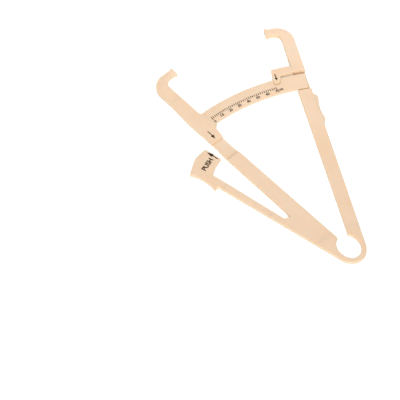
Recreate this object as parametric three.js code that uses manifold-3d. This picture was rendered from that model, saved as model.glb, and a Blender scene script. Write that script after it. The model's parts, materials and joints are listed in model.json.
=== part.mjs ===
// Skinfold caliper moulded in one piece of plastic: two hooked arms joined by a spring loop, an arc
// scale fixed to the left arm, a pointer on the right arm and a sprung press lever.
//
// Frame: the arms lie in the XY plane with the jaws towards +Y, the back face lies at z = 0, and the
// outline is first drawn around the centre of the spring loop, which is where the arms turn.
import * as THREE from 'three';
import { mergeVertices } from 'three/addons/utils/BufferGeometryUtils.js';
import Module from 'manifold-3d';

// Driving dimensions in millimetres and degrees

// Thicknesses, from the back face upwards
const bodyThickness = 2.6;
const webThickness = 0.8;
const slideClearance = 0.3;
const tabThickness = 1.0;
const edgeRound = 0.35;

// Spring loop: an oval, open towards the jaws
const loopHalfWidth = 7.8;
const loopHalfLength = 10.4;
const loopWall = 3.5;
const loopSplitGap = 0.3;
const loopNeck = 16;

// Arms: each leans from the centre line and has an inner and an outer edge
const armTilt = 13.7;
const fixedInnerEdge = 0.9;
const fixedRootEdge = 11.8;
const fixedOuterEdge = 11.3;
const fixedUpperInnerEdge = -0.7;
const fixedUpperOuterEdge = 10.4;
const fixedJawEdge = 8.8;
const movingInnerEdge = 1.9;
const movingOuterEdge = 12.0;
const movingUpperInnerEdge = 2.7;
const movingUpperOuterEdge = 11.4;
const armEdgeBlend = 9;

// Jaws: a hooked finger on each arm that ends in a flat pad
const padRadius = 191.9;
const padWidth = 5.8;
const fixedPadAngle = 9.8;
const movingPadAngle = 11.5;
const padRound = 1.2;
const jawBendRound = 11;
const jawHookRound = 4.5;
const jawLength = 22.4;

// Scale bar: part of a ring round the loop centre
const barInnerRadius = 138.3;
const barWidth = 12.9;
const barRootAngle = 12.7;
const barEndAngle = -16.5;
const barRootInnerRound = 4.0;
const barRootOuterRound = 1.2;
const slotInnerClearance = 0.9;
const slotOuterClearance = 2.1;

// Pointer bracket on the moving arm
const pointerAngle = -9.8;
const bracketWidth = 5.8;
const bracketBottom = 1.5;
const bracketEndReach = 0.6;
const tabOverlap = 6.3;
const tabHalfWidth = 3.0;
const tabTipRound = 1.7;

// Finger rest on the outer edge of the moving arm
const restLength = 24.6;
const restToSlot = 6.9;
const restHeight = 2.0;
const restDip = 1.2;

// Press lever: a narrow strip that leaves the root of the fixed arm and carries the paddle
const leverTilt = 24;
const leverInnerEdge = 8.0;
const leverWidth = 5.5;
const leverRoot = 48;
const leverHingeShare = 0.15;
const leverFlexGap = 0.6;
const pressAngle = 10.6;

// Paddle, along and across the lever
const paddleStart = 112.4;
const paddleLength = 16.7;
const paddleLeadEdge = -6.0;
const paddleRearEdge = 15.3;
const paddleRearDrop = 6.8;
const paddleCrown = 0.9;
const thumbRestEdge = 16.6;
const thumbRestDip = 1.2;
const thumbRestLength = 20.0;
const lipReach = 8;
const lipThickness = 1.1;
const pressClearance = 0.5;

// How far the areas that divide the moulding reach past its edges
const cutMargin = 1.4;
const cutReach = 18;

// Sizes that follow from the driving dimensions
const barBottom = webThickness + slideClearance;
const tabBottom = bodyThickness + slideClearance;
const upperThickness = tabBottom + tabThickness;
const lipBottom = bodyThickness - lipThickness;
const ledgeTop = lipBottom - slideClearance;
const barOuterRadius = barInnerRadius + barWidth;
const slotInnerRadius = barInnerRadius - slotInnerClearance;
const slotOuterRadius = barOuterRadius + slotOuterClearance;
const bracketOuterRadius = slotOuterRadius + bracketWidth;
const tabReachRadius = barOuterRadius - tabOverlap;
const padInnerRadius = padRadius - padWidth / 2;
const padOuterRadius = padRadius + padWidth / 2;
const jawRoot = padOuterRadius - jawLength;
const restEnd = slotInnerRadius - restToSlot;
const restStart = restEnd - restLength;
const paddleEnd = paddleStart + paddleLength;
const paddleRearEnd = paddleEnd - paddleRearDrop;
const thumbRestStart = paddleRearEnd - thumbRestLength;
const leverOuterEdge = leverInnerEdge + leverWidth;
const leverMiddle = leverInnerEdge + leverWidth / 2;
const paddleRoot = thumbRestStart - 5;
const leverHinge = leverRoot + leverHingeShare * (paddleStart - leverRoot);
const loopOuterHalfWidth = loopHalfWidth + loopWall;
const loopOuterHalfLength = loopHalfLength + loopWall;

const degrees = THREE.MathUtils.degToRad;
const wasm = await Module();
wasm.setup();

// A point on an arm: along it from the loop centre, and across it towards the outside.
// side is 1 for the fixed arm on the left and -1 for the moving arm on the right.
function lane(tilt, side) {
  const lean = degrees(tilt);
  return (along, across, round = 0) => [
    -side * (along * Math.sin(lean) + across * Math.cos(lean)),
    along * Math.cos(lean) - across * Math.sin(lean),
    round,
  ];
}

const onFixed = lane(armTilt, 1);
const onMoving = lane(armTilt, -1);
const onLever = lane(leverTilt, 1);

// A point at a radius from the loop centre and an angle from the centre line, positive to the left.
function polar(radius, angle, round = 0) {
  return [-radius * Math.sin(degrees(angle)), radius * Math.cos(degrees(angle)), round];
}

function ringArc(radius, from, to, step = 1.5) {
  const steps = Math.ceil(Math.abs(to - from) / step);
  return Array.from({ length: steps + 1 }, (_, i) => polar(radius, from + ((to - from) * i) / steps));
}

// Points on an oval round the loop centre, with its angle measured from +X.
function ovalArc(halfWidth, halfLength, from, to, steps = 16) {
  return Array.from({ length: steps + 1 }, (_, i) => {
    const angle = degrees(from + ((to - from) * i) / steps);
    return [halfWidth * Math.cos(angle), halfLength * Math.sin(angle), 0];
  });
}

// Turns a list of [x, y, round] corners into points, with an arc at each corner that has a round.
function rounded(corners) {
  const points = [];
  corners.forEach(([x, y, round], i) => {
    const corner = new THREE.Vector2(x, y);
    if (!round) {
      points.push(corner);
      return;
    }
    const last = corners[(i + corners.length - 1) % corners.length];
    const next = corners[(i + 1) % corners.length];
    const back = new THREE.Vector2(last[0] - x, last[1] - y).normalize();
    const ahead = new THREE.Vector2(next[0] - x, next[1] - y).normalize();
    const half = Math.acos(THREE.MathUtils.clamp(back.dot(ahead), -1, 1)) / 2;
    const inward = back.clone().add(ahead).normalize();
    const centre = corner.clone().addScaledVector(inward, round / Math.sin(half));
    const start = corner.clone().addScaledVector(back, round / Math.tan(half)).sub(centre);
    const end = corner.clone().addScaledVector(ahead, round / Math.tan(half)).sub(centre);
    const sweep = Math.atan2(start.cross(end), start.dot(end));
    const steps = Math.max(2, Math.ceil(Math.abs(sweep) / degrees(15) - 0.01));
    for (let k = 0; k <= steps; k += 1) {
      points.push(start.clone().rotateAround(new THREE.Vector2(), (sweep * k) / steps).add(centre));
    }
  });
  return points;
}

function solid(geometry) {
  geometry.deleteAttribute('normal');
  geometry.deleteAttribute('uv');
  const merged = mergeVertices(geometry, 1e-4);
  return new wasm.Manifold(new wasm.Mesh({
    numProp: 3,
    vertProperties: new Float32Array(merged.attributes.position.array),
    triVerts: new Uint32Array(merged.index.array),
  }));
}

// A flat plate between two heights, with its edges rounded over unless edge is 0.
function plate(corners, bottom, top, edge = edgeRound) {
  const geometry = new THREE.ExtrudeGeometry(new THREE.Shape(rounded(corners)), {
    depth: top - bottom - 2 * edge,
    bevelEnabled: edge > 0,
    bevelThickness: edge,
    bevelSize: edge,
    bevelOffset: -edge,
    bevelSegments: 2,
  });
  geometry.translate(0, 0, bottom + edge);
  return solid(geometry);
}

// A square-edged cutter over an area, through all heights unless it is given some.
function cutter(corners, bottom = -1, top = upperThickness + 1) {
  return plate(corners, bottom, top, 0);
}

function areaAlong(place, from, to, inner, outer) {
  return [place(from, inner), place(from, outer), place(to, outer), place(to, inner)];
}

// The area that holds an arm's jaw, from its root outwards.
function jawCutter(place) {
  return cutter(areaAlong(place, jawRoot, 2 * padOuterRadius - jawRoot, -padRadius / 4, padRadius / 6));
}

// The hooked finger at the end of an arm, from its inner edge round the tip to its outer edge. Its flat
// pad lies on a line through the loop centre, so that the two pads meet face to face.
function hook(place, padAngle, innerEdge, outerEdge) {
  const lean = degrees(armTilt - padAngle);
  const fingerBottom = padInnerRadius * Math.cos(lean);
  const fingerTop = padOuterRadius * Math.cos(lean);
  return [
    place(fingerBottom, innerEdge, jawHookRound),
    place(fingerBottom, -padInnerRadius * Math.sin(lean), padRound),
    place(fingerTop, -padOuterRadius * Math.sin(lean), padRound),
    place(fingerTop, outerEdge, jawBendRound),
  ];
}

// Where the hole of the loop meets an arm's inner edge, as an angle on the oval from +X.
function loopMouthAngle(innerEdge) {
  const lean = degrees(armTilt);
  for (let angle = 89; angle > 0; angle -= 0.5) {
    const x = loopHalfWidth * Math.cos(degrees(angle));
    const y = loopHalfLength * Math.sin(degrees(angle));
    if (x * Math.cos(lean) - y * Math.sin(lean) > innerEdge) {
      return angle;
    }
  }
  return 0;
}

// Where the outside of the loop runs into a straight edge that leans by a tilt.
function loopTangentAngle(tilt) {
  const lean = degrees(tilt);
  const slope = (loopOuterHalfLength * Math.sin(lean)) / (loopOuterHalfWidth * Math.cos(lean));
  return THREE.MathUtils.radToDeg(Math.atan(slope));
}

// The paddle's outline from the inner edge of the lever round to its outer edge.
function paddleCorners() {
  const dipMiddle = (thumbRestStart + paddleRearEnd) / 2;
  const dipHalf = (paddleRearEnd - thumbRestStart) / 2;
  const thumbRest = Array.from({ length: 9 }, (_, i) => {
    const share = 0.8 - 0.2 * i;
    return onLever(dipMiddle + dipHalf * share, thumbRestEdge - thumbRestDip * (1 - share * share));
  });
  return [
    onLever(paddleStart, leverInnerEdge, 1.2),
    onLever(paddleStart, paddleLeadEdge, 1.2),
    onLever(paddleEnd - 2 * paddleCrown, paddleLeadEdge, 1.5),
    onLever(paddleEnd, (paddleLeadEdge + leverInnerEdge) / 2 - 2, 6),
    onLever(paddleEnd - paddleCrown, leverInnerEdge - 2, 9),
    onLever(paddleRearEnd + 1.2, paddleRearEdge + 0.4, 1.6),
    ...thumbRest,
    onLever(thumbRestStart, thumbRestEdge + 0.3, 0.8),
    onLever(thumbRestStart - 1.6, leverOuterEdge + 1.4, 0.8),
    onLever(thumbRestStart - 4.6, leverOuterEdge, 3),
  ];
}

// The whole fixed half of the moulding except the scale bar.
function fixedHalf() {
  const mouth = loopMouthAngle(fixedInnerEdge);
  const tangent = loopTangentAngle(leverTilt);
  const splitAngle = 90 - THREE.MathUtils.radToDeg(loopSplitGap / 2 / loopHalfWidth);
  const splitOuterAngle = 90 - THREE.MathUtils.radToDeg(loopSplitGap / 2 / loopOuterHalfWidth);
  return [
    ...ovalArc(loopHalfWidth, loopHalfLength, 180 + splitAngle, 180 - mouth),
    onFixed(barInnerRadius - 5.5 - armEdgeBlend, fixedInnerEdge),
    onFixed(barInnerRadius - 5.5, fixedUpperInnerEdge),
    ...hook(onFixed, fixedPadAngle, fixedUpperInnerEdge - 0.5, fixedJawEdge),
    onFixed(jawRoot - cutMargin, fixedJawEdge),
    onFixed(barOuterRadius, fixedUpperOuterEdge),
    onFixed(paddleStart + armEdgeBlend, fixedUpperOuterEdge),
    onFixed(paddleStart, fixedOuterEdge),
    onFixed(leverRoot + 6, fixedRootEdge),
    onFixed(leverRoot - 4, fixedRootEdge + 0.4, 1.2),
    onLever(leverRoot, leverInnerEdge, 1.2),
    ...paddleCorners(),
    ...ovalArc(loopOuterHalfWidth, loopOuterHalfLength, 180 + tangent, 180 + splitOuterAngle),
  ];
}

// The lower arm and loop of the moving half, up to the slot that the scale bar runs in.
function movingLowerHalf() {
  const mouth = loopMouthAngle(movingInnerEdge);
  const tangent = loopTangentAngle(armTilt);
  const splitAngle = 90 - THREE.MathUtils.radToDeg(loopSplitGap / 2 / loopHalfWidth);
  const splitOuterAngle = 90 - THREE.MathUtils.radToDeg(loopSplitGap / 2 / loopOuterHalfWidth);
  const inner = armTilt + THREE.MathUtils.radToDeg(Math.asin(movingInnerEdge / slotInnerRadius));
  const outer = armTilt + THREE.MathUtils.radToDeg(Math.asin((movingOuterEdge - 0.4) / slotInnerRadius));
  const dipMiddle = (restStart + restEnd) / 2;
  const dipHalf = (restEnd - restStart) / 2;
  const fingerRest = Array.from({ length: 9 }, (_, i) => {
    const share = -0.72 + 0.18 * i;
    const dip = restDip * (1 - 2 * share * share);
    return onMoving(dipMiddle + dipHalf * share, movingOuterEdge + restHeight - dip);
  });
  return [
    ...ovalArc(loopOuterHalfWidth, loopOuterHalfLength, -splitOuterAngle, -tangent),
    onMoving(restStart - 1, movingOuterEdge, 2),
    onMoving(restStart + 2.6, movingOuterEdge + restHeight, 1.4),
    ...fingerRest,
    onMoving(restEnd - 1, movingOuterEdge + restHeight, 1),
    onMoving(restEnd + 1, movingOuterEdge - 0.4, 1),
    ...ringArc(slotInnerRadius, -outer, -inner, 1),
    ...ovalArc(loopHalfWidth, loopHalfLength, mouth, -splitAngle),
  ];
}

// The upper arm and jaw of the moving half, beyond the slot.
function movingUpperHalf() {
  const inner = armTilt + THREE.MathUtils.radToDeg(Math.asin(movingUpperInnerEdge / slotOuterRadius));
  const outer = armTilt + THREE.MathUtils.radToDeg(Math.asin(movingUpperOuterEdge / slotOuterRadius));
  return [
    ...ringArc(slotOuterRadius, -inner, -outer, 1),
    ...hook(onMoving, movingPadAngle, movingUpperInnerEdge - 0.4, movingUpperOuterEdge).reverse(),
  ];
}

// The thin web that joins the two parts of the moving arm behind the scale bar.
function web() {
  const overlap = 3;
  return areaAlong(
    onMoving,
    slotInnerRadius - overlap,
    slotOuterRadius + overlap,
    movingUpperInnerEdge,
    movingUpperOuterEdge - 0.2,
  );
}

function bracketLeg() {
  const rootAcross = Math.asin((movingUpperInnerEdge + tabHalfWidth) / slotOuterRadius);
  const rootAngle = -(armTilt + THREE.MathUtils.radToDeg(rootAcross));
  const endAngle = pointerAngle + bracketEndReach;
  return [
    polar(bracketOuterRadius - 1, rootAngle),
    ...ringArc(bracketOuterRadius, rootAngle + 2, endAngle - 1.2, 1.5),
    polar(bracketOuterRadius, endAngle, 1.8),
    polar(slotOuterRadius, endAngle, 0.8),
    ...ringArc(slotOuterRadius, endAngle - 0.8, rootAngle, 1.5),
  ];
}

// The pointer tab, which passes over the scale bar and tapers to a round tip.
function pointerTab() {
  const onPointer = lane(-pointerAngle, -1);
  return [
    onPointer(slotOuterRadius + 3, tabHalfWidth),
    onPointer(slotOuterRadius - 2, tabHalfWidth - 0.3, 3),
    onPointer(tabReachRadius, tabTipRound * 0.95, tabTipRound * 0.8),
    onPointer(tabReachRadius, -tabTipRound * 0.95, tabTipRound * 0.8),
    onPointer(slotOuterRadius - 2, -tabHalfWidth, 3),
    onPointer(slotOuterRadius + 3, -tabHalfWidth),
  ];
}

function scaleBar() {
  const rootInside = polar(barInnerRadius, barRootAngle + 3);
  const rootOutside = polar(barOuterRadius, barRootAngle + 3);
  return [
    rootInside,
    polar(barInnerRadius, barRootAngle + 1),
    ...ringArc(barInnerRadius, barRootAngle, barEndAngle + 0.7),
    polar(barInnerRadius, barEndAngle, 1),
    polar(barOuterRadius, barEndAngle, 1),
    ...ringArc(barOuterRadius, barEndAngle + 0.7, barRootAngle),
    polar(barOuterRadius, barRootAngle + 1),
    rootOutside,
  ];
}

// A small web of plastic that rounds the corner between the scale bar and the fixed arm.
function barRootFillets() {
  const innerAngle = armTilt - THREE.MathUtils.radToDeg(Math.asin(-fixedUpperInnerEdge / barInnerRadius));
  const outerAngle = armTilt - THREE.MathUtils.radToDeg(Math.asin(-fixedUpperInnerEdge / barOuterRadius));
  const reach = (round) => THREE.MathUtils.radToDeg(round / barInnerRadius);
  return [
    [polar(barInnerRadius + 2, innerAngle + 1), polar(barInnerRadius - barRootInnerRound, innerAngle + 1),
      polar(barInnerRadius - barRootInnerRound, innerAngle + 0.2),
      polar(barInnerRadius, innerAngle - reach(barRootInnerRound)),
      polar(barInnerRadius + 2, innerAngle - reach(barRootInnerRound))],
    [polar(barOuterRadius - 2, outerAngle + 1), polar(barOuterRadius + barRootOuterRound, outerAngle + 1),
      polar(barOuterRadius + barRootOuterRound, outerAngle),
      polar(barOuterRadius, outerAngle - reach(barRootOuterRound)),
      polar(barOuterRadius - 2, outerAngle - reach(barRootOuterRound))],
  ];
}

// The area along the fixed arm that the paddle's lip sweeps over when it is pressed.
function pressedReach() {
  const [hingeX, hingeY] = onLever(leverHinge, leverMiddle);
  const hinge = new THREE.Vector2(hingeX, hingeY);
  const lean = degrees(armTilt);
  const reach = rounded([onLever(leverRoot, leverInnerEdge), ...paddleCorners()])
    .map((point) => point.clone().rotateAround(hinge, -degrees(pressAngle)))
    .map((point) => ({
      along: -point.x * Math.sin(lean) + point.y * Math.cos(lean),
      across: -point.x * Math.cos(lean) - point.y * Math.sin(lean),
    }))
    .filter((point) => point.across < fixedUpperOuterEdge + 1.5 && point.along > paddleStart - 8)
    .map((point) => point.along);
  return [Math.min(...reach) - pressClearance, Math.max(...reach) + pressClearance];
}

const colours = { top: 0xf4dcc2, loop: 0xecd2b4, lever: 0xe9cfb0, bar: 0xf3dabd };

function node(name, shape, colour) {
  const mesh = shape.getMesh();
  const geometry = new THREE.BufferGeometry();
  geometry.setAttribute('position', new THREE.BufferAttribute(mesh.vertProperties, 3));
  geometry.setIndex(new THREE.BufferAttribute(mesh.triVerts, 1));
  const material = new THREE.MeshStandardMaterial({ color: colour, roughness: 0.45, metalness: 0 });
  const result = new THREE.Mesh(geometry, material);
  result.name = name;
  return result;
}

// The fixed half, cut where the spring loop, the jaw, the lever and the paddle begin
function fixedNodes() {
  const [recessFrom, recessTo] = pressedReach();
  const recess = cutter(
    areaAlong(onFixed, recessFrom, recessTo, -cutReach, fixedRootEdge + cutReach), ledgeTop);
  const underLip = cutter(
    areaAlong(
      onLever,
      paddleStart - 2 * cutMargin,
      paddleEnd + 2 * cutMargin,
      paddleLeadEdge - 2 * cutMargin,
      paddleLeadEdge + lipReach,
    ),
    -1,
    lipBottom,
  );
  const loopArea = cutter([
    [-2 * loopOuterHalfLength, -2 * loopOuterHalfLength, 0],
    [loopOuterHalfLength, -2 * loopOuterHalfLength, 0],
    onFixed(loopNeck, -loopHalfWidth), onFixed(loopNeck, 2 * loopOuterHalfWidth)]);
  const stripStart = leverHinge + leverFlexGap / 2;
  const inside = leverInnerEdge - cutMargin;
  const outside = leverOuterEdge + cutReach;
  const stripArea = cutter(areaAlong(onLever, stripStart, paddleRoot, inside, outside));
  const leverArea = cutter(
    areaAlong(onLever, stripStart - leverFlexGap, paddleRoot + cutMargin, inside, outside));
  const paddleArea = cutter([
    onLever(paddleRoot, outside), onLever(paddleRoot, inside),
    onLever(paddleStart - cutMargin, inside), onLever(paddleStart - cutMargin, paddleLeadEdge - cutMargin),
    onLever(paddleEnd + cutReach, paddleLeadEdge - cutMargin), onLever(paddleEnd + cutReach, outside)]);
  const jawArea = jawCutter(onFixed);
  const barArea = cutter([
    polar(barInnerRadius - barWidth, barRootAngle), polar(barOuterRadius + barWidth, barRootAngle),
    polar(barOuterRadius + 3 * barWidth, barEndAngle - 3),
    polar(barInnerRadius - 2 * barWidth, barEndAngle - 3)]);

  const half = plate(fixedHalf(), 0, bodyThickness);
  const bar = plate(scaleBar(), barBottom, bodyThickness);
  const fillets = barRootFillets().map((corners) => plate(corners, barBottom, bodyThickness));
  const arm = half.subtract(leverArea).subtract(paddleArea).subtract(recess);
  const armAndBar = arm.add(bar).add(fillets[0]).add(fillets[1]);
  const paddle = half.intersect(paddleArea).subtract(underLip);
  return [
    node('spring_loop_fixed_half', arm.intersect(loopArea), colours.loop),
    node('fixed_arm', armAndBar.subtract(loopArea).subtract(jawArea).subtract(barArea), colours.top),
    node('fixed_jaw', arm.intersect(jawArea), colours.top),
    node('scale_bar', armAndBar.intersect(barArea), colours.bar),
    node('press_lever', half.intersect(stripArea), colours.lever),
    node('press_paddle', paddle, colours.lever),
  ];
}

// The moving half, cut where the spring loop, the finger rest, the bracket and the jaw begin
function movingNodes() {
  const loopArea = cutter([
    [-loopOuterHalfLength, -2 * loopOuterHalfLength, 0],
    [2 * loopOuterHalfLength, -2 * loopOuterHalfLength, 0],
    onMoving(loopNeck, 2 * loopOuterHalfWidth), onMoving(loopNeck, -loopHalfWidth)]);
  const jawArea = jawCutter(onMoving);
  const restArea = cutter(areaAlong(
    onMoving,
    restStart - 2 * restHeight,
    restEnd + 3 * restHeight,
    movingOuterEdge,
    movingOuterEdge + cutReach,
  ));
  const bracketArea = cutter(areaAlong(
    onMoving,
    tabReachRadius - 2 * tabOverlap,
    bracketOuterRadius + tabOverlap,
    -bracketOuterRadius / 5,
    movingUpperInnerEdge,
  ));

  const lower = plate(movingLowerHalf(), 0, bodyThickness);
  const upper = plate(movingUpperHalf(), 0, upperThickness);
  const leg = plate(bracketLeg(), bracketBottom, upperThickness);
  const tab = plate(pointerTab(), tabBottom, upperThickness);
  const thinWeb = plate(web(), 0, webThickness, 0.2);
  const top = upper.add(leg).add(tab);
  const middle = lower.subtract(loopArea).subtract(restArea).add(thinWeb);
  return [
    node('spring_loop_moving_half', lower.intersect(loopArea), colours.loop),
    node('moving_arm', middle.add(top.subtract(bracketArea)).subtract(jawArea), colours.top),
    node('finger_rest', lower.intersect(restArea), colours.top),
    node('pointer_bracket', top.intersect(bracketArea), colours.top),
    node('moving_jaw', upper.intersect(jawArea).subtract(bracketArea), colours.top),
  ];
}

const caliper = new THREE.Group();
caliper.add(...fixedNodes(), ...movingNodes());

// The origin is under the middle of the whole outline
const box = new THREE.Box3().setFromObject(caliper, true);
const middle = box.getCenter(new THREE.Vector3());
caliper.position.set(-middle.x, -middle.y, -box.min.z);

export default caliper;
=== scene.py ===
import json
import math

import bmesh
import bpy
from mathutils import Matrix, Vector


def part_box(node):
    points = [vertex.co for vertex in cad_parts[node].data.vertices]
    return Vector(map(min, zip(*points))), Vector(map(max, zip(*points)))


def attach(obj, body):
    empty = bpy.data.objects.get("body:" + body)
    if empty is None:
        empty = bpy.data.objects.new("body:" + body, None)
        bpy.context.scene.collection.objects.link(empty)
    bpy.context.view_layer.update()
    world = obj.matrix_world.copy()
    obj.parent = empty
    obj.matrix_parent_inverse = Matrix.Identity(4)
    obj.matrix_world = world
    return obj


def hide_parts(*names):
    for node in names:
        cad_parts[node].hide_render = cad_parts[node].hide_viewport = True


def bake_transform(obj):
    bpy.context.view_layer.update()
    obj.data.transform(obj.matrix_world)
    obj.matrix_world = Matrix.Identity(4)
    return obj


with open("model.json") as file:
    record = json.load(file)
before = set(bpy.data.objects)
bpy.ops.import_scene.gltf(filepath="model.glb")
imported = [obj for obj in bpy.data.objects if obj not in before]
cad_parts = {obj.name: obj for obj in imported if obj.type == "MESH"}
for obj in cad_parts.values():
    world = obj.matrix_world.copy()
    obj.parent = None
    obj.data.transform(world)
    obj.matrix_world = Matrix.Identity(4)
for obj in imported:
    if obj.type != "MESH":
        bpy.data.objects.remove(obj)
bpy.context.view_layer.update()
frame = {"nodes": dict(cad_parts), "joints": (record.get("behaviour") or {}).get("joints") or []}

MM = 0.001

# Places that the frame gives, in metres
joints = {joint["name"]: joint for joint in frame["joints"]}
loop_centre = Vector(joints["jaw_close"]["pos_m"])
body_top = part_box("fixed_arm")[1].z
tab_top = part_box("pointer_bracket")[1].z

# Sizes below are in millimetres and angles in degrees. A pair that names a corner is its distance from
# the loop centre along its limb, then its distance across, outwards. Radii are from the loop centre.
# Angles are round it from the centre line, positive to the left. A tilt is only how far a limb leans.

# Arms and lever: their tilts, where their edges run across them, where along the right arm and the lever
# the outer edge that leaves the loop ends, and how round the long edges are
ARM_TILT = 13.7
LEVER_TILT = 24
FIXED_INNER_EDGE = 0.9
MOVING_INNER_EDGE = 1.9
MOVING_OUTER_EDGE = 12.0
REST_START = 105.0
LEVER_INNER_EDGE = 8.0
LEVER_OUTER_EDGE = 13.5
LEVER_STRAIGHT_END = 97.7
EDGE_ROUND = 0.35

# Spring loop: the half width and half height of its hole and of its outside, and where the arms begin.
LOOP_INNER = (7.8, 10.4)
LOOP_OUTER = (11.3, 13.9)
LOOP_NECK = 16

# Lever strip: from its root to the paddle, and the length in which it bends
STRIP_START = 57.36
STRIP_END = 97.3
STRIP_BEND = 18

# Paddle: its rear edge slants, and bends to pass the end of the arm's ledge when the lever is pressed
PADDLE_LEAD_EDGE = -6.0
PADDLE_REAR_ROOT = (110.1, LEVER_INNER_EDGE + 0.2)
PADDLE_REAR_BEND = (112.1, 1.7)
PADDLE_REAR_TIP = (112.9, PADDLE_LEAD_EDGE)
PADDLE_FRONT_TIP = (127.3, PADDLE_LEAD_EDGE)
PADDLE_FRONT_CORNER = (127.8, 4.6)
PADDLE_REAR_ROUND = 1.2
PADDLE_FRONT_ROUND = 1.5
PADDLE_BEND_ROUND = 4.0

# The lip on the paddle's leading edge
LIP_REACH = 8
LIP_THICKNESS = 1.1

# Thumb hollow on the paddle's outer side, with an undercut heel at its rear. The middle share of the
# hollow is curved, and the rest runs straight to its ends.
THUMB_FROM = 100.1
THUMB_TO = 122.3
THUMB_EDGE = 17.2
THUMB_DIP = 2.0
THUMB_CURVED_SHARE = 0.8
THUMB_CREST = (THUMB_TO, THUMB_EDGE + 0.3)
THUMB_CREST_ROUND = 1.0
HEEL_TIP = (THUMB_FROM, THUMB_EDGE)
HEEL_TIP_ROUND = 0.5
HEEL_UNDERCUT = (THUMB_FROM + 0.9, LEVER_OUTER_EDGE + 1.2)
HEEL_UNDERCUT_ROUND = 0.6
HEEL_FOOT = (THUMB_FROM - 0.5, LEVER_OUTER_EDGE + 0.1)
HEEL_FOOT_ROUND = 1.0

# Scale bar: part of a ring, filleted into the fixed arm. Its arcs stop short of the rounded end.
BAR_INNER_RADIUS = 138.3
BAR_OUTER_RADIUS = 151.2
BAR_ROOT_ANGLE = 12.7
BAR_FILLET_RADIUS = 136.3
BAR_FILLET_ANGLE = 11.75
BAR_END_ANGLE = -17.8
BAR_ARC_END_ANGLE = BAR_END_ANGLE + 0.8
BAR_END_ROUND = 1.0

# Jaws: a hooked finger that flares to a flat pad on a line through the loop centre. Each has its pad's
# tilt, the arm's two edges at its root, the hook's inner edge, and the finger's two sides.
JAW_ROOT = 172.4
JAW_BEND_ROUND = 13.0
JAW_HOOK_ROUND = 6.0
PAD_INNER_RADIUS = 189.0
PAD_OUTER_RADIUS = 196.8
PAD_ROUND = 0.7
FLARE_LENGTH = 3.0
FLARE_ROUND = 1.6
FIXED_JAW = {"pad_tilt": 9.8, "root_edges": (-1.06, 8.8), "hook_edge": -1.2, "finger": (189.9, 195.3)}
MOVING_JAW = {"pad_tilt": 11.5, "root_edges": (2.49, 11.4), "hook_edge": 2.9, "finger": (189.8, 195.0)}

# Pointer bracket: a leg along the slot in the moving arm, and a thin round-ended tab over the bar
POINTER_TILT = 9.8
SLOT_OUTER_RADIUS = 153.3
BRACKET_INNER_RADIUS = 152.5
BRACKET_OUTER_RADIUS = 159.1
BRACKET_BOTTOM = 1.0
BRACKET_ROOT_EDGE = 2.7
LEG_INNER_ANGLES = (-14.0, -12.0)
LEG_OUTER_ANGLES = (-10.8, -14.4)
TAB_THICKNESS = 1.0
TAB_TIP_RADIUS = 146.9
TAB_CORNER = (BRACKET_INNER_RADIUS - 0.1, 3.9)
TAB_TIP_RIGHT = (TAB_TIP_RADIUS, 2.2)
TAB_TIP_LEFT = (TAB_TIP_RADIUS, -2.9)
TAB_TOP_LEFT = (BRACKET_OUTER_RADIUS + 0.4, -0.9)
TAB_ROUND = 0.6
TAB_TIP_RIGHT_ROUND = 2.5
TAB_TIP_LEFT_ROUND = 2.0
TAB_CUT_HALF_WIDTH = 6.5

# Scale print: it reads the distance between the pads, measured at the scale radius
SCALE_RADIUS = 194.3
SCALE_END = 70
ZERO_ANGLE = 11.9
TICK_OUTER_RADIUS = 144.5
TICK_STEP = 2
TICK_WIDTH = 0.5
TICK_LENGTH = 1.8
TEN_LENGTH = 2.2
ZERO_LENGTH = 3.2
NUMBER_STEP = 10
NUMBER_RADIUS = 141.0
ZERO_RADIUS = 139.7
NUMBER_HEIGHT = 2.2
DIGIT_WIDTH = 1.35
NUMBER_WEIGHT = 0.03
UNIT_RADIUS = 141.4
UNIT_ANGLE = -10.1
UNIT_HEIGHT = 1.6
UNIT_WIDTH = 2.6

# Arrows and word: places along and across, and a head's length and width
ARROW_BARB = 0.12
POINTER_ARROW = {"tail": (154.9, 0.3), "tip": (148.9, 0.0), "head": (2.6, 2.0), "shaft": 0.7}
ARM_ARROW = {"tail": (136.7, 5.3), "tip": (128.5, 5.5), "head": (3.6, 2.4), "shaft": 0.65}
PADDLE_ARROW = {"tail": (115.1, -4.7), "tip": (124.6, -4.7), "head": (5.2, 2.8), "shaft": 0.7}
WORD_PLACE = (118.0, 3.4)
WORD_TURN = 33
WORD_HEIGHT = 3.8
WORD_WIDTH = 11.0
WORD_WEIGHT = 0.035
INK_SUNK = 0.01
INK_PROUD = 0.03
INK_WELD = 0.0005

# How finely curves are divided, what counts as sharp or flat, and how far a cut runs past its piece
EDGE_STEPS = 4
ROUND_STEP = 8
NECK_STEPS = 5
LOOP_SIDE_STEPS = 24
LOOP_BOTTOM_STEPS = 56
STRIP_STEPS = 48
THUMB_STEPS = 12
BAR_STEPS = 42
LEG_STEPS = 4
SHARP_ANGLE = 40
FLAT_NORMAL = 0.99
CUT_MARGIN = 5.0

# Colours, and the sizes and heights of the surface's features
PLASTIC = (0.935, 0.690, 0.487)
PLASTIC_WARM = (0.935, 0.655, 0.430)
# The walls' colour is painted shade: walls are coloured darker than the tops by the way they face.
PLASTIC_WALL_SHADE = (0.880, 0.675, 0.465)
PLASTIC_ROUGHNESS = (0.40, 0.52)
CLOUD_SIZE = 22
CLOUD_SHARE = 0.75
STREAK_SIZE = 5
STREAK_STRETCH = (1.0, 0.18, 1.0)
STREAK_SHARE = 0.22
WAVE_SIZE = 9
WAVE_HEIGHT = 0.12
GRAIN_SIZE = 0.35
GRAIN_HEIGHT = 0.015
SCATTER_DEPTH = 2.0
INK = (0.045, 0.020, 0.008)
INK_THIN = tuple(channel * 2.4 for channel in INK)
INK_ROUGHNESS = (0.6, 0.8)
SPECKLE_SIZE = 0.3
SPECKLE_HEIGHT = 0.01

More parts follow.
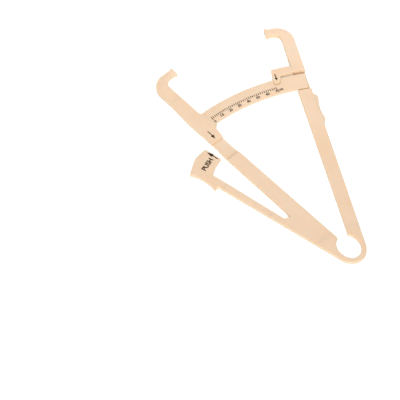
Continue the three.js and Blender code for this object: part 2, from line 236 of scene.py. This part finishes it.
# The photograph's view: where it looks from, with its distance in metres, and where in the picture the
# frame's origin lies
FRAME_PIXELS = 400
VIEW_AZIMUTH = -28.04
VIEW_ELEVATION = 52.94
VIEW_ROLL = 0.816
VIEW_DISTANCE = 2.0
PIXELS_PER_MM = 1.4557
ORIGIN_PIXEL = (278.94, 158.28)
SENSOR_MM = 36

# Light, with places and lamp sizes in metres: the world and both lamps together show a colour about as it
# is written. The fill lamp stands low in front, and lights the tops and the walls alike.
WORLD_LIGHT = 0.45
KEY_LAMP = {"place": (0.20, 0.36, 0.35), "size": 0.3, "watts": 0.8}
FILL_LAMP = {"place": (-1.22, -2.29, 1.50), "size": 1.5, "watts": 58}
LAMP_AIM = Vector((0.0, 0.03, 0.0))

# Floor: its half side is in metres, and it lies a little under the caliper's back, in millimetres
FLOOR_HALF_SIDE = 3
FLOOR_DROP = 0.1
FLOOR_GREY = (0.86, 0.86, 0.86)
FLOOR_GLOW = 0.55


# Places on the moulding

def lane(tilt, side):
    """Places along a limb and across it. side is 1 on the left and -1 on the right."""
    lean = math.radians(tilt)

    def place(along, across):
        x = -side * (along * math.sin(lean) + across * math.cos(lean))
        y = along * math.cos(lean) - across * math.sin(lean)
        return loop_centre.xy + Vector((x, y)) * MM

    return place


on_fixed = lane(ARM_TILT, 1)
on_moving = lane(ARM_TILT, -1)
on_lever = lane(LEVER_TILT, 1)
on_pointer = lane(POINTER_TILT, -1)


def polar(radius, angle):
    """A point at a radius from the loop centre and an angle from the centre line, positive to the left."""
    turn = math.radians(angle)
    return loop_centre.xy + Vector((-math.sin(turn), math.cos(turn))) * radius * MM


def oval(half_sizes, angle):
    """A point on an oval round the loop centre, by its angle from +X."""
    turn = math.radians(angle)
    return loop_centre.xy + Vector((half_sizes[0] * math.cos(turn), half_sizes[1] * math.sin(turn))) * MM


def between(first, last, count):
    """count + 1 evenly spaced values or points from first to last."""
    return [first + (last - first) * (i / count) for i in range(count + 1)]


def arc(radius, first, last, count):
    """Corners without rounding, along an arc round the loop centre."""
    return [(polar(radius, angle), 0) for angle in between(first, last, count)]


def rounded(corners):
    """The points of an outline, with an arc at each (corner, radius) whose radius isn't 0."""
    points = []
    for i, (corner, radius) in enumerate(corners):
        if radius == 0:
            points.append(corner)
            continue
        back = (corners[i - 1][0] - corner).normalized()
        ahead = (corners[(i + 1) % len(corners)][0] - corner).normalized()
        half = math.acos(max(-1, min(1, back.dot(ahead)))) / 2
        centre = corner + (back + ahead).normalized() * radius * MM / math.sin(half)
        start = corner + back * radius * MM / math.tan(half) - centre
        end = corner + ahead * radius * MM / math.tan(half) - centre
        turn = math.atan2(start.x * end.y - start.y * end.x, start.dot(end))
        steps = max(2, math.ceil(abs(turn) / math.radians(ROUND_STEP)))
        points += [centre + Matrix.Rotation(turn * k / steps, 2) @ start for k in range(steps + 1)]
    return points


# Materials

def new_material(name):
    material = bpy.data.materials.new(name)
    material.use_nodes = True
    nodes = material.node_tree.nodes
    return material, nodes, material.node_tree.links, nodes["Principled BSDF"]


def noise(nodes, links, place, size, detail=2.0, stretch=(1, 1, 1)):
    """A noise whose features are about size millimetres across."""
    mapping = nodes.new("ShaderNodeMapping")
    mapping.inputs["Scale"].default_value = stretch
    links.new(place, mapping.inputs["Vector"])
    texture = nodes.new("ShaderNodeTexNoise")
    texture.inputs["Scale"].default_value = 1 / (size * MM)
    texture.inputs["Detail"].default_value = detail
    links.new(mapping.outputs["Vector"], texture.inputs["Vector"])
    return texture.outputs["Fac"]


def ranged(nodes, links, value, known, wanted):
    """A value, stretched from its known (low, high) to the wanted (low, high)."""
    node = nodes.new("ShaderNodeMapRange")
    links.new(value, node.inputs["Value"])
    for socket, number in zip(("From Min", "From Max", "To Min", "To Max"), (*known, *wanted)):
        node.inputs[socket].default_value = number
    return node.outputs["Result"]


def mixed(nodes, links, factor, first, second):
    """Two colours mixed by a factor; each is a written colour or the socket that gives it."""
    node = nodes.new("ShaderNodeMix")
    node.data_type = "RGBA"
    links.new(factor, node.inputs["Factor"])
    inputs = [socket for socket in node.inputs if socket.type == "RGBA"]
    for socket, colour in zip(inputs, (first, second)):
        if isinstance(colour, tuple):
            socket.default_value = (*colour, 1)
        else:
            links.new(colour, socket)
    return next(socket for socket in node.outputs if socket.type == "RGBA")


def bumped(nodes, links, height, distance, strength, below=None):
    """A surface normal bumped by a height of so many millimetres, over the bumps below it."""
    node = nodes.new("ShaderNodeBump")
    node.inputs["Distance"].default_value = distance * MM
    node.inputs["Strength"].default_value = strength
    links.new(height, node.inputs["Height"])
    if below is not None:
        links.new(below, node.inputs["Normal"])
    return node.outputs["Normal"]


def plastic_material():
    """Cream moulded plastic: cloudy colour, walls darkened by painted shade, a fine satin grain and low
    waves.
    """
    material, nodes, links, shader = new_material("cream_plastic")
    place = nodes.new("ShaderNodeTexCoord").outputs["Object"]

    clouds = noise(nodes, links, place, CLOUD_SIZE, detail=3)
    streaks = noise(nodes, links, place, STREAK_SIZE, stretch=STREAK_STRETCH)
    cloudiness = ranged(nodes, links, clouds, known=(0.35, 0.7), wanted=(0, CLOUD_SHARE))
    cloudy = mixed(nodes, links, cloudiness, PLASTIC, PLASTIC_WARM)
    streakiness = ranged(nodes, links, streaks, known=(0.45, 0.75), wanted=(0, STREAK_SHARE))
    streaked = mixed(nodes, links, streakiness, cloudy, PLASTIC_WARM)

    # Painted shade: the steeper a face is, the more it takes the darker wall colour.
    split = nodes.new("ShaderNodeSeparateXYZ")
    links.new(nodes.new("ShaderNodeNewGeometry").outputs["True Normal"], split.inputs["Vector"])
    flatness = nodes.new("ShaderNodeMath")
    flatness.operation = "ABSOLUTE"
    links.new(split.outputs["Z"], flatness.inputs[0])
    wall_shade = ranged(nodes, links, flatness.outputs["Value"], known=(0.2, 0.95), wanted=(1, 0))
    links.new(mixed(nodes, links, wall_shade, streaked, PLASTIC_WALL_SHADE), shader.inputs["Base Color"])

    grain = noise(nodes, links, place, GRAIN_SIZE, detail=4)
    waves = noise(nodes, links, place, WAVE_SIZE, detail=1)
    roughness = ranged(nodes, links, clouds, known=(0.3, 0.7), wanted=PLASTIC_ROUGHNESS)
    wavy = bumped(nodes, links, waves, WAVE_HEIGHT, strength=0.35)
    grainy = bumped(nodes, links, grain, GRAIN_HEIGHT, strength=0.5, below=wavy)
    links.new(roughness, shader.inputs["Roughness"])
    links.new(grainy, shader.inputs["Normal"])
    shader.inputs["IOR"].default_value = 1.49
    shader.inputs["Subsurface Weight"].default_value = 0.3
    shader.inputs["Subsurface Radius"].default_value = (1.0, 0.7, 0.45)
    shader.inputs["Subsurface Scale"].default_value = SCATTER_DEPTH * MM
    return material


def ink_material():
    """Matt black pad-printed ink, a little thin and uneven."""
    material, nodes, links, shader = new_material("black_ink")
    place = nodes.new("ShaderNodeTexCoord").outputs["Object"]
    speckle = noise(nodes, links, place, SPECKLE_SIZE, detail=3)
    thinness = ranged(nodes, links, speckle, known=(0.4, 0.8), wanted=(0, 1))
    roughness = ranged(nodes, links, speckle, known=(0.3, 0.7), wanted=INK_ROUGHNESS)
    speckled = bumped(nodes, links, speckle, SPECKLE_HEIGHT, strength=0.4)
    links.new(mixed(nodes, links, thinness, INK, INK_THIN), shader.inputs["Base Color"])
    links.new(roughness, shader.inputs["Roughness"])
    links.new(speckled, shader.inputs["Normal"])
    shader.inputs["Specular IOR Level"].default_value = 0.1
    return material


plastic = plastic_material()
ink = ink_material()


# Meshes

def add_object(name, build, material):
    """Puts what was built into the scene."""
    mesh = bpy.data.meshes.new(name)
    build.to_mesh(mesh)
    build.free()
    mesh.materials.append(material)
    piece = bpy.data.objects.new(name, mesh)
    bpy.context.scene.collection.objects.link(piece)
    return piece


def evaluated_mesh(piece):
    """A new mesh of a piece as its modifiers, or its letters, make it."""
    bpy.context.view_layer.update()
    return bpy.data.meshes.new_from_object(piece.evaluated_get(bpy.context.evaluated_depsgraph_get()))


def prism(build, outline, bottom, top):
    """Builds a straight-sided plate, and gives the rings of corners round its bottom and its top."""
    low = [build.verts.new((point.x, point.y, bottom)) for point in outline]
    high = [build.verts.new((point.x, point.y, top)) for point in outline]
    build.faces.new(reversed(low))
    build.faces.new(high)
    for i in range(len(outline)):
        j = (i + 1) % len(outline)
        build.faces.new((low[i], low[j], high[j], high[i]))
    bmesh.ops.recalc_face_normals(build, faces=build.faces)
    return low, high


def sweep(name, pairs, bottom, top):
    """A strip of plastic with rounded edges. pairs holds its (inner, outer) points along its length."""
    build = bmesh.new()
    edge = [(EDGE_ROUND * MM * (1 - math.sin(turn)), EDGE_ROUND * MM * (1 - math.cos(turn)))
            for turn in between(0, math.pi / 2, EDGE_STEPS)]
    rings = []
    for inner, outer in pairs:
        inward = (inner - outer).normalized()
        outside = [(outer + inward * inset, bottom + rise) for inset, rise in edge]
        outside += [(outer + inward * inset, top - rise) for inset, rise in reversed(edge)]
        inside = [(inner - inward * inset, top - rise) for inset, rise in edge]
        inside += [(inner - inward * inset, bottom + rise) for inset, rise in reversed(edge)]
        rings.append([build.verts.new((point.x, point.y, z)) for point, z in outside + inside])
    for ring, following in zip(rings, rings[1:]):
        for i in range(len(ring)):
            j = (i + 1) % len(ring)
            build.faces.new((ring[i], ring[j], following[j], following[i]))
    build.faces.new(reversed(rings[0]))
    build.faces.new(rings[-1])
    bmesh.ops.recalc_face_normals(build, faces=build.faces)
    piece = add_object(name, build, plastic)
    piece.data.shade_smooth()
    piece.data.set_sharp_from_angle(angle=math.radians(SHARP_ANGLE))
    return piece


def moulded(name, outline, bottom, top):
    """A flat plate with rounded edges, left square where it is cut, from its last point to its first."""
    build = bmesh.new()
    rings = prism(build, outline, bottom, top)
    rims = [build.edges.get(ends) for ring in rings for ends in zip(ring, ring[1:])]
    bmesh.ops.bevel(build, geom=rims, offset=EDGE_ROUND * MM, offset_type="OFFSET", segments=EDGE_STEPS,
                    profile=0.5, affect="EDGES", clamp_overlap=False)
    for face in build.faces:
        face.smooth = abs(face.normal.z) < FLAT_NORMAL
    piece = add_object(name, build, plastic)
    piece.data.set_sharp_from_angle(angle=math.radians(SHARP_ANGLE))
    return piece


def carve(piece, place, along, across, height):
    """Cuts away a piece's underside up to a height, in an area that is square to a limb."""
    corners = [place(along[0], across[0]), place(along[1], across[0]),
               place(along[1], across[1]), place(along[0], across[1])]
    build = bmesh.new()
    prism(build, corners, -CUT_MARGIN * MM, height)
    cutter = add_object(piece.name + "_cut", build, plastic)
    cut = piece.modifiers.new("cut", "BOOLEAN")
    cut.operation = "DIFFERENCE"
    cut.object = cutter
    carved = evaluated_mesh(piece)
    piece.modifiers.clear()
    piece.data = carved
    bpy.data.objects.remove(cutter)


def printed(name, outlines, surface, body):
    """Flat ink prisms over outlines, lying on a surface of a body."""
    build = bmesh.new()
    for outline in outlines:
        prism(build, outline, surface - INK_SUNK * MM, surface + INK_PROUD * MM)
    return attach(add_object(name, build, ink), body)


def lettering(name, labels, weight, surface, body):
    """Printed words. labels holds (text, centre, turn in degrees, height and width in millimetres)."""
    build = bmesh.new()
    level = surface + (INK_PROUD - INK_SUNK) / 2 * MM
    for text, centre, turn, height, width in labels:
        curve = bpy.data.curves.new(name, "FONT")
        curve.body = text
        curve.offset = weight
        curve.extrude = (INK_PROUD + INK_SUNK) * MM / 2
        letters = bpy.data.objects.new(name, curve)
        bpy.context.scene.collection.objects.link(letters)
        mesh = evaluated_mesh(letters)
        low = Vector([min(vertex.co[axis] for vertex in mesh.vertices) for axis in range(3)])
        high = Vector([max(vertex.co[axis] for vertex in mesh.vertices) for axis in range(3)])
        fit = Matrix.Diagonal((width * MM / (high.x - low.x), height * MM / (high.y - low.y), 1, 1))
        mesh.transform(Matrix.Translation((centre.x, centre.y, level))
                       @ Matrix.Rotation(math.radians(turn), 4, "Z")
                       @ fit @ Matrix.Translation(-(low + high) / 2))
        build.from_mesh(mesh)
        bpy.data.objects.remove(letters)
        bpy.data.meshes.remove(mesh)
        bpy.data.curves.remove(curve)
    bmesh.ops.remove_doubles(build, verts=build.verts, dist=INK_WELD * MM)
    bmesh.ops.recalc_face_normals(build, faces=build.faces)
    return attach(add_object(name, build, ink), body)


def arrow(name, place, sizes, surface, body):
    """A printed arrow with a slim head whose back is nearly flat."""
    tail = place(*sizes["tail"])
    tip = place(*sizes["tip"])
    head_length, head_width = sizes["head"]
    ahead = (tip - tail).normalized() * head_length * MM
    aside = Vector((-ahead.y, ahead.x)).normalized() * MM / 2
    base = tip - ahead
    widest = base + ahead * ARROW_BARB
    shaft_edge = aside * sizes["shaft"]
    head_edge = aside * head_width
    shaft = [tail + shaft_edge, tail - shaft_edge, base - shaft_edge, base + shaft_edge]
    head = [base + shaft_edge, base - shaft_edge, widest - head_edge, tip, widest + head_edge]
    return printed(name, [shaft, head], surface, body)


# The spring loop, one strip from the neck of the fixed arm round to the neck of the moving arm

def mouth_angle(inner_edge):
    """Where the loop's hole meets an arm's inner edge: an angle on the oval, to the half degree below."""
    lean = math.radians(ARM_TILT)
    level = LOOP_INNER[0] * math.cos(lean)
    upright = LOOP_INNER[1] * math.sin(lean)
    turn = math.acos(inner_edge / math.hypot(level, upright)) - math.atan2(upright, level)
    return math.floor(math.degrees(turn) * 2) / 2


def tangent_angle(tilt):
    """Where the outside of the loop runs into a straight edge that leans by a tilt."""
    lean = math.radians(tilt)
    return math.degrees(math.atan(LOOP_OUTER[1] * math.sin(lean) / (LOOP_OUTER[0] * math.cos(lean))))


def crossing(first, last, place):
    """Where the line through two points crosses the neck of an arm."""
    start = place(LOOP_NECK, 0)
    across = place(LOOP_NECK, 1) - start
    along = last - first
    gap = start - first
    share = (gap.x * across.y - gap.y * across.x) / (along.x * across.y - along.y * across.x)
    return first + along * share


def loop_side(place, inner_edge, outer_end, mouth, tangent):
    """(inner, outer) points from an arm's neck down to where its outer edge runs into the loop."""
    inner = between(place(LOOP_NECK, inner_edge), oval(LOOP_INNER, mouth), NECK_STEPS)
    hole_steps = LOOP_SIDE_STEPS - NECK_STEPS
    inner += [oval(LOOP_INNER, angle) for angle in between(mouth, tangent, hole_steps)[1:]]
    touch = oval(LOOP_OUTER, tangent)
    outer = between(crossing(touch, outer_end, place), touch, LOOP_SIDE_STEPS)
    return list(zip(inner, outer))


def spring_loop():
    fixed_touch = 180 + tangent_angle(LEVER_TILT)
    moving_touch = 360 - tangent_angle(ARM_TILT)
    fixed_side = loop_side(on_fixed, FIXED_INNER_EDGE, on_lever(LEVER_STRAIGHT_END, LEVER_OUTER_EDGE),
                           180 - mouth_angle(FIXED_INNER_EDGE), fixed_touch)
    moving_side = loop_side(on_moving, MOVING_INNER_EDGE, on_moving(REST_START, MOVING_OUTER_EDGE),
                            360 + mouth_angle(MOVING_INNER_EDGE), moving_touch)
    bottom = [(oval(LOOP_INNER, angle), oval(LOOP_OUTER, angle))
              for angle in between(fixed_touch, moving_touch, LOOP_BOTTOM_STEPS)]
    piece = sweep("spring_loop", fixed_side + bottom[1:-1] + list(reversed(moving_side)), 0, body_top)
    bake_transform(piece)
    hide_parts("spring_loop_fixed_half", "spring_loop_moving_half")


# The lever's springy strip, which leaves the root of the fixed arm

def lever_strip():
    """Its inner edge is straight, and its outer edge is the line that leaves the outside of the loop."""
    lean = math.radians(LEVER_TILT)
    touch = (oval(LOOP_OUTER, 180 + tangent_angle(LEVER_TILT)) - loop_centre.xy) / MM
    touch_along = -touch.x * math.sin(lean) + touch.y * math.cos(lean)
    touch_across = -touch.x * math.cos(lean) - touch.y * math.sin(lean)
    slope = (LEVER_OUTER_EDGE - touch_across) / (LEVER_STRAIGHT_END - touch_along)
    pairs = [(on_lever(along, LEVER_INNER_EDGE),
              on_lever(along, touch_across + slope * (along - touch_along)))
             for along in between(STRIP_START, STRIP_END, STRIP_STEPS)]
    piece = sweep("press_lever_strip", pairs, 0, body_top)
    middle = (LEVER_INNER_EDGE + LEVER_OUTER_EDGE) / 2
    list(on_lever(STRIP_START, middle))
    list(on_lever(STRIP_START + STRIP_BEND, middle))
    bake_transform(piece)
    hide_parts("press_lever")


# The jaws, each a hooked finger that grows out of its arm and flares to its pad

def jaw(node, body, place, pad_tilt, root_edges, hook_edge, finger):
    lean = math.radians(ARM_TILT - pad_tilt)

    def on_pad(radius):
        return place(radius * math.cos(lean), -radius * math.sin(lean))

    def before_flare(along, radius):
        return place(along, -radius * math.sin(lean) + FLARE_LENGTH)

    outline = rounded([
        (place(JAW_ROOT, root_edges[0]), 0),
        (place(finger[0], hook_edge), JAW_HOOK_ROUND),
        (before_flare(finger[0], PAD_INNER_RADIUS), FLARE_ROUND),
        (on_pad(PAD_INNER_RADIUS), PAD_ROUND),
        (on_pad(PAD_OUTER_RADIUS), PAD_ROUND),
        (before_flare(finger[1], PAD_OUTER_RADIUS), FLARE_ROUND),
        (place(finger[1], root_edges[1]), JAW_BEND_ROUND),
        (place(JAW_ROOT, root_edges[1]), 0),
    ])
    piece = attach(moulded(node + "_flared", outline, 0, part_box(node)[1].z), body)
    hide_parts(node)


# The paddle on the lever's end, whose lip slides over the fixed arm's ledge

def paddle():
    middle = (THUMB_FROM + THUMB_TO) / 2
    half = (THUMB_TO - THUMB_FROM) / 2
    hollow = [(on_lever(middle + half * share, THUMB_EDGE - THUMB_DIP * (1 - share ** 2)), 0)
              for share in between(THUMB_CURVED_SHARE, -THUMB_CURVED_SHARE, THUMB_STEPS)]
    outline = rounded([
        (on_lever(STRIP_END, LEVER_INNER_EDGE), 0),
        (on_lever(*PADDLE_REAR_ROOT), PADDLE_REAR_ROUND),
        (on_lever(*PADDLE_REAR_BEND), PADDLE_BEND_ROUND),
        (on_lever(*PADDLE_REAR_TIP), PADDLE_REAR_ROUND),
        (on_lever(*PADDLE_FRONT_TIP), PADDLE_FRONT_ROUND),
        (on_lever(*PADDLE_FRONT_CORNER), PADDLE_BEND_ROUND),
        (on_lever(*THUMB_CREST), THUMB_CREST_ROUND),
        *hollow,
        (on_lever(*HEEL_TIP), HEEL_TIP_ROUND),
        (on_lever(*HEEL_UNDERCUT), HEEL_UNDERCUT_ROUND),
        (on_lever(*HEEL_FOOT), HEEL_FOOT_ROUND),
        (on_lever(STRIP_END, LEVER_OUTER_EDGE), 0),
    ])
    piece = moulded("paddle_with_thumb_rest", outline, 0, body_top)
    past_ends = (PADDLE_REAR_ROOT[0] - CUT_MARGIN, PADDLE_FRONT_CORNER[0] + CUT_MARGIN)
    under_lip = (PADDLE_LEAD_EDGE - CUT_MARGIN, PADDLE_LEAD_EDGE + LIP_REACH)
    carve(piece, on_lever, past_ends, under_lip, body_top - LIP_THICKNESS * MM)
    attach(piece, "lever")
    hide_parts("press_paddle")


# The scale bar, which ends level with the moving arm's outer edge

def scale_bar():
    low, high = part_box("scale_bar")
    outline = rounded([
        (polar(BAR_FILLET_RADIUS, BAR_ROOT_ANGLE), 0),
        *arc(BAR_INNER_RADIUS, BAR_FILLET_ANGLE, BAR_ARC_END_ANGLE, BAR_STEPS),
        (polar(BAR_INNER_RADIUS, BAR_END_ANGLE), BAR_END_ROUND),
        (polar(BAR_OUTER_RADIUS, BAR_END_ANGLE), BAR_END_ROUND),
        *arc(BAR_OUTER_RADIUS, BAR_ARC_END_ANGLE, BAR_ROOT_ANGLE, BAR_STEPS),
    ])
    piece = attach(moulded("scale_bar_to_edge", outline, low.z, high.z), "fixed")
    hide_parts("scale_bar")


# The pointer bracket, whose leg has its full depth and whose tab is thin, to clear the scale bar

def pointer_bracket():
    def root(radius):
        return on_moving(math.sqrt(radius ** 2 - BRACKET_ROOT_EDGE ** 2), BRACKET_ROOT_EDGE)

    outline = rounded([
        (root(SLOT_OUTER_RADIUS), 0),
        *arc(BRACKET_INNER_RADIUS, *LEG_INNER_ANGLES, LEG_STEPS),
        (on_pointer(*TAB_CORNER), TAB_ROUND),
        (on_pointer(*TAB_TIP_RIGHT), TAB_TIP_RIGHT_ROUND),
        (on_pointer(*TAB_TIP_LEFT), TAB_TIP_LEFT_ROUND),
        (on_pointer(*TAB_TOP_LEFT), TAB_ROUND),
        *arc(BRACKET_OUTER_RADIUS, *LEG_OUTER_ANGLES, LEG_STEPS),
        (root(BRACKET_OUTER_RADIUS), 0),
    ])
    piece = moulded("pointer_bracket_and_tab", outline, BRACKET_BOTTOM * MM, tab_top)
    over_bar = (TAB_TIP_RADIUS - CUT_MARGIN, BRACKET_INNER_RADIUS)
    past_sides = (-TAB_CUT_HALF_WIDTH, TAB_CUT_HALF_WIDTH)
    carve(piece, on_pointer, over_bar, past_sides, tab_top - TAB_THICKNESS * MM)
    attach(piece, "moving")
    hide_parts("pointer_bracket")


# Print

def scale_angle(reading):
    """Where the scale shows a distance between the pads."""
    return ZERO_ANGLE - 2 * math.degrees(math.asin(reading / (2 * SCALE_RADIUS)))


def tick(reading):
    """The outline of one tick, longer at tens and longest at zero."""
    length = TICK_LENGTH
    if reading % NUMBER_STEP == 0:
        length = TEN_LENGTH if reading else ZERO_LENGTH
    angle = scale_angle(reading)
    outer = polar(TICK_OUTER_RADIUS, angle)
    inner = polar(TICK_OUTER_RADIUS - length, angle)
    along = (outer - inner).normalized()
    aside = Vector((-along.y, along.x)) * TICK_WIDTH * MM / 2
    return [outer + aside, outer - aside, inner - aside, inner + aside]


def scale_print():
    """The ticks, a number at each ten, and the unit after the last."""
    ticks = [tick(reading) for reading in range(0, SCALE_END + 1, TICK_STEP)]
    printed("scale_ticks", ticks, body_top, "fixed")

    labels = []
    for number in range(0, SCALE_END + 1, NUMBER_STEP):
        radius = NUMBER_RADIUS if number else ZERO_RADIUS
        angle = scale_angle(number)
        text = str(number)
        labels.append((text, polar(radius, angle), angle, NUMBER_HEIGHT, DIGIT_WIDTH * len(text)))
    labels.append(("mm", polar(UNIT_RADIUS, UNIT_ANGLE), UNIT_ANGLE, UNIT_HEIGHT, UNIT_WIDTH))
    lettering("scale_numbers", labels, NUMBER_WEIGHT, body_top, "fixed")


def arrows_and_word():
    arrow("pointer_arrow", on_pointer, POINTER_ARROW, tab_top, "moving")
    arrow("arm_arrow", on_fixed, ARM_ARROW, body_top, "fixed")
    arrow("paddle_arrow", on_lever, PADDLE_ARROW, body_top, "lever")
    word = ("PUSH", on_lever(*WORD_PLACE), WORD_TURN, WORD_HEIGHT, WORD_WIDTH)
    lettering("paddle_word", [word], WORD_WEIGHT, body_top, "lever")


# Surroundings

def shown_to_camera(nodes, links):
    """1 for rays from the camera and for rays that a glossy or clear surface sends on."""
    path = nodes.new("ShaderNodeLightPath")
    value = path.outputs["Is Camera Ray"]
    for output in ("Is Glossy Ray", "Is Transmission Ray"):
        largest = nodes.new("ShaderNodeMath")
        largest.operation = "MAXIMUM"
        links.new(value, largest.inputs[0])
        links.new(path.outputs[output], largest.inputs[1])
        value = largest.outputs["Value"]
    return value


def lit_and_shown(nodes, links, lit, shown, output):
    """Sends two shaders to an output: one lights the caliper, and the other is what the camera sees."""
    mix = nodes.new("ShaderNodeMixShader")
    links.new(shown_to_camera(nodes, links), mix.inputs["Fac"])
    links.new(lit, mix.inputs[1])
    links.new(shown, mix.inputs[2])
    links.new(mix.outputs["Shader"], nodes[output].inputs["Surface"])


def white_world():
    """A white background, which lights the caliper less than it shows."""
    world = bpy.data.worlds.new("studio")
    world.use_nodes = True
    nodes, links = world.node_tree.nodes, world.node_tree.links
    light = nodes["Background"]
    light.inputs["Color"].default_value = (1, 1, 1, 1)
    light.inputs["Strength"].default_value = WORLD_LIGHT
    white = nodes.new("ShaderNodeBackground")
    white.inputs["Color"].default_value = (1, 1, 1, 1)
    white.inputs["Strength"].default_value = 1
    lit_and_shown(nodes, links, light.outputs["Background"], white.outputs["Background"], "World Output")
    bpy.context.scene.world = world


def pale_floor():
    """A pale floor that takes the caliper's soft shadow, and glows to the camera to look white."""
    build = bmesh.new()
    bmesh.ops.create_grid(build, x_segments=1, y_segments=1, size=FLOOR_HALF_SIDE)
    bmesh.ops.translate(build, verts=build.verts, vec=(0, 0, -FLOOR_DROP * MM))
    material, nodes, links, shader = new_material("pale_floor")
    nodes.remove(shader)
    paper = nodes.new("ShaderNodeBsdfDiffuse")
    paper.inputs["Color"].default_value = (*FLOOR_GREY, 1)
    glow = nodes.new("ShaderNodeEmission")
    glow.inputs["Strength"].default_value = FLOOR_GLOW
    both = nodes.new("ShaderNodeAddShader")
    links.new(paper.outputs["BSDF"], both.inputs[0])
    links.new(glow.outputs["Emission"], both.inputs[1])
    lit_and_shown(nodes, links, paper.outputs["BSDF"], both.outputs["Shader"], "Material Output")
    add_object("floor", build, material)


def soft_lamp(name, place, size, watts):
    lamp = bpy.data.lights.new(name, "AREA")
    lamp.size = size
    lamp.energy = watts
    softbox = bpy.data.objects.new(name, lamp)
    softbox.location = place
    softbox.rotation_euler = (LAMP_AIM - Vector(place)).to_track_quat("-Z", "Y").to_euler()
    bpy.context.scene.collection.objects.link(softbox)


def photo_camera():
    """Looks from the photograph's side, turned so that the frame's origin falls on its pixel."""
    azimuth, elevation = math.radians(VIEW_AZIMUTH), math.radians(VIEW_ELEVATION)
    back = Vector((math.sin(azimuth) * math.cos(elevation), -math.cos(azimuth) * math.cos(elevation),
                   math.sin(elevation)))
    level = Vector((math.cos(azimuth), math.sin(azimuth), 0))
    roll = math.radians(VIEW_ROLL)
    right = level * math.cos(roll) - back.cross(level) * math.sin(roll)
    up = back.cross(right)
    aside = (ORIGIN_PIXEL[0] - FRAME_PIXELS / 2) / PIXELS_PER_MM * MM
    above = (FRAME_PIXELS / 2 - ORIGIN_PIXEL[1]) / PIXELS_PER_MM * MM
    place = back * VIEW_DISTANCE
    backwards = (place + right * aside + up * above).normalized()
    across = up.cross(backwards).normalized()
    turn = Matrix((across, backwards.cross(across), backwards)).transposed()

    lens = bpy.data.cameras.new("camera")
    lens.sensor_width = SENSOR_MM
    lens.lens = SENSOR_MM * PIXELS_PER_MM * VIEW_DISTANCE / MM / FRAME_PIXELS
    camera = bpy.data.objects.new("camera", lens)
    camera.matrix_world = Matrix.Translation(place) @ turn.to_4x4()
    bpy.context.scene.collection.objects.link(camera)
    bpy.context.scene.camera = camera


def limb_finish():
    """The limbs keep the shape that the frame gives them, and take the plastic."""
    for node in frame["nodes"].values():
        node.data.materials.clear()
        node.data.materials.append(plastic)


photo_camera()
limb_finish()
spring_loop()
lever_strip()
jaw("fixed_jaw", "fixed", on_fixed, **FIXED_JAW)
jaw("moving_jaw", "moving", on_moving, **MOVING_JAW)
paddle()
scale_bar()
pointer_bracket()
scale_print()
arrows_and_word()
white_world()
pale_floor()
soft_lamp("key_light", **KEY_LAMP)
soft_lamp("fill_light", **FILL_LAMP)
bpy.context.scene.view_settings.view_transform = "Standard"
